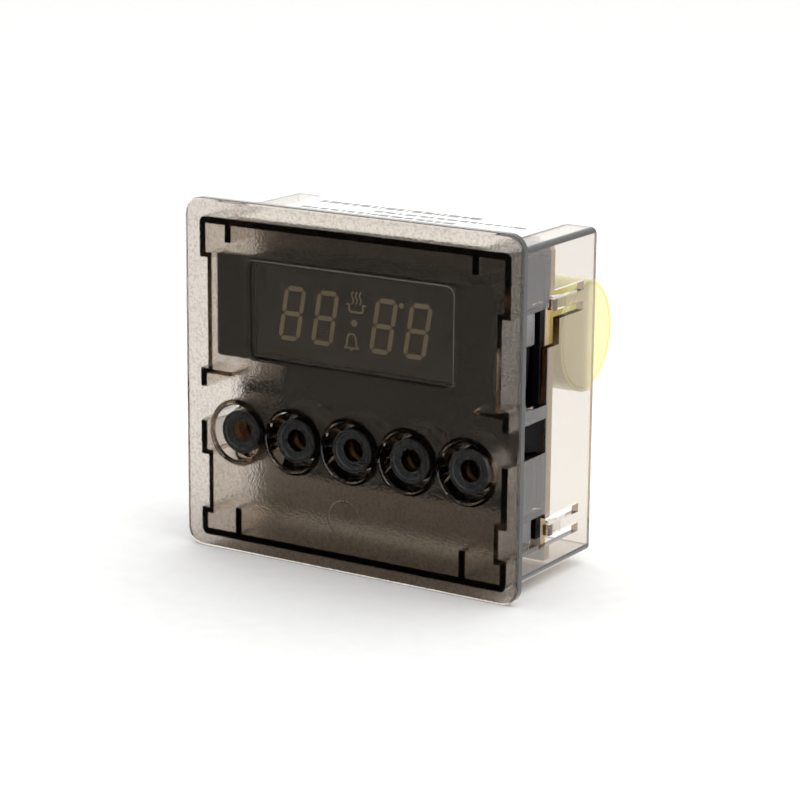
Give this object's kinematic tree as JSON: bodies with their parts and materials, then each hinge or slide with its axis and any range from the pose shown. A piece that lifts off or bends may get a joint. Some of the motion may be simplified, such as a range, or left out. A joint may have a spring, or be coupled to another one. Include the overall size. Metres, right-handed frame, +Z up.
{
  "type": "electronic oven timer module",
  "caption": "Smoked panel-mount timer module: clock display, round push keys, snap-in circuit board, relay, power tabs and a film capacitor out of its open back.",
  "frame": {"origin": "middle of the bounding box in x and y, on the lower edge of the front plate", "axes": "+X to the right seen from the front, +Y from the front plate to the back, +Z up; the keys and display face -Y"},
  "size_m": [0.07, 0.0406, 0.0648],
  "materials": {
    "smoked_polycarbonate": "smoked see-through polycarbonate, fine moulded grain on the front, polished display window and well walls",
    "black_plastic": "black glass-filled polyamide, satin",
    "display_face": "dark grey display face with unlit khaki segments",
    "button_plastic": "brown switch button",
    "phenolic_board": "tan phenolic paper board",
    "yellow_tape": "pale yellow film tape with resin ends",
    "relay_plastic": "blue relay cover",
    "copper_winding": "enamelled copper wire",
    "plated_steel": "plated steel",
    "tinned_brass": "tinned brass",
    "sleeve": "shrink sleeve",
    "blue_epoxy": "dipped epoxy",
    "grey_ceramic": "cement resistor body",
    "white_nylon": "natural nylon",
    "paper": null
  },
  "bodies": {
    "case": {"housing": "smoked_polycarbonate", "display_holder": "black_plastic", "display_body": "display_face", "circuit_board": "phenolic_board", "display_header_upper": "black_plastic", "display_header_lower": "black_plastic", "film_capacitor": "yellow_tape", "relay_base": "black_plastic", "relay_cover": "relay_plastic", "relay_coil": "copper_winding", "microcontroller": "black_plastic", "buzzer": "black_plastic", "electrolytic_capacitor_1": "sleeve", "electrolytic_capacitor_2": "sleeve", "crystal": "plated_steel", "varistor": "blue_epoxy", "fuse_resistor": "grey_ceramic", "wire_connector": "white_nylon", "label": "paper", "switch_body_1": "black_plastic", "switch_body_2": "black_plastic", "switch_body_3": "black_plastic", "switch_body_4": "black_plastic", "switch_body_5": "black_plastic", "tab_terminal_1": "tinned_brass", "diode_1": "black_plastic", "tab_terminal_2": "tinned_brass", "diode_2": "black_plastic", "tab_terminal_3": "tinned_brass", "diode_3": "black_plastic", "tab_terminal_4": "tinned_brass", "diode_4": "black_plastic"},
    "key_1_body": {"key_1": "smoked_polycarbonate"},
    "button_1_body": {"switch_button_1": "button_plastic"},
    "key_2_body": {"key_2": "smoked_polycarbonate"},
    "button_2_body": {"switch_button_2": "button_plastic"},
    "key_3_body": {"key_3": "smoked_polycarbonate"},
    "button_3_body": {"switch_button_3": "button_plastic"},
    "key_4_body": {"key_4": "smoked_polycarbonate"},
    "button_4_body": {"switch_button_4": "button_plastic"},
    "key_5_body": {"key_5": "smoked_polycarbonate"},
    "button_5_body": {"switch_button_5": "button_plastic"},
    "armature_body": {"relay_armature": "plated_steel"}
  },
  "joints": [
    {"name": "key_1_press", "type": "slide", "parent": "case", "child": "key_1_body", "axis": [0, 1, 0], "range_m": [0, 0.0005], "stiffness_N_per_m": 400, "springref_m": -0.002},
    {"name": "button_1_press", "type": "slide", "parent": "case", "child": "button_1_body", "axis": [0, 1, 0], "range_m": [0, 0.0005]},
    {"name": "key_2_press", "type": "slide", "parent": "case", "child": "key_2_body", "axis": [0, 1, 0], "range_m": [0, 0.0005], "stiffness_N_per_m": 400, "springref_m": -0.002},
    {"name": "button_2_press", "type": "slide", "parent": "case", "child": "button_2_body", "axis": [0, 1, 0], "range_m": [0, 0.0005]},
    {"name": "key_3_press", "type": "slide", "parent": "case", "child": "key_3_body", "axis": [0, 1, 0], "range_m": [0, 0.0005], "stiffness_N_per_m": 400, "springref_m": -0.002},
    {"name": "button_3_press", "type": "slide", "parent": "case", "child": "button_3_body", "axis": [0, 1, 0], "range_m": [0, 0.0005]},
    {"name": "key_4_press", "type": "slide", "parent": "case", "child": "key_4_body", "axis": [0, 1, 0], "range_m": [0, 0.0005], "stiffness_N_per_m": 400, "springref_m": -0.002},
    {"name": "button_4_press", "type": "slide", "parent": "case", "child": "button_4_body", "axis": [0, 1, 0], "range_m": [0, 0.0005]},
    {"name": "key_5_press", "type": "slide", "parent": "case", "child": "key_5_body", "axis": [0, 1, 0], "range_m": [0, 0.0005], "stiffness_N_per_m": 400, "springref_m": -0.002},
    {"name": "button_5_press", "type": "slide", "parent": "case", "child": "button_5_body", "axis": [0, 1, 0], "range_m": [0, 0.0005]},
    {"name": "relay_armature_pull", "type": "hinge", "parent": "case", "child": "armature_body", "pos_m": [-0.01085, 0.00035, 0.0234], "axis": [0, 0, 1], "range_deg": [0, 4], "stiffness_Nm_per_rad": 0.005, "springref_deg": -5.73}
  ],
  "couplings": [
    {"joint": "button_1_press", "follows": "key_1_press", "ratio": 1},
    {"joint": "button_2_press", "follows": "key_2_press", "ratio": 1},
    {"joint": "button_3_press", "follows": "key_3_press", "ratio": 1},
    {"joint": "button_4_press", "follows": "key_4_press", "ratio": 1},
    {"joint": "button_5_press", "follows": "key_5_press", "ratio": 1}
  ]
}
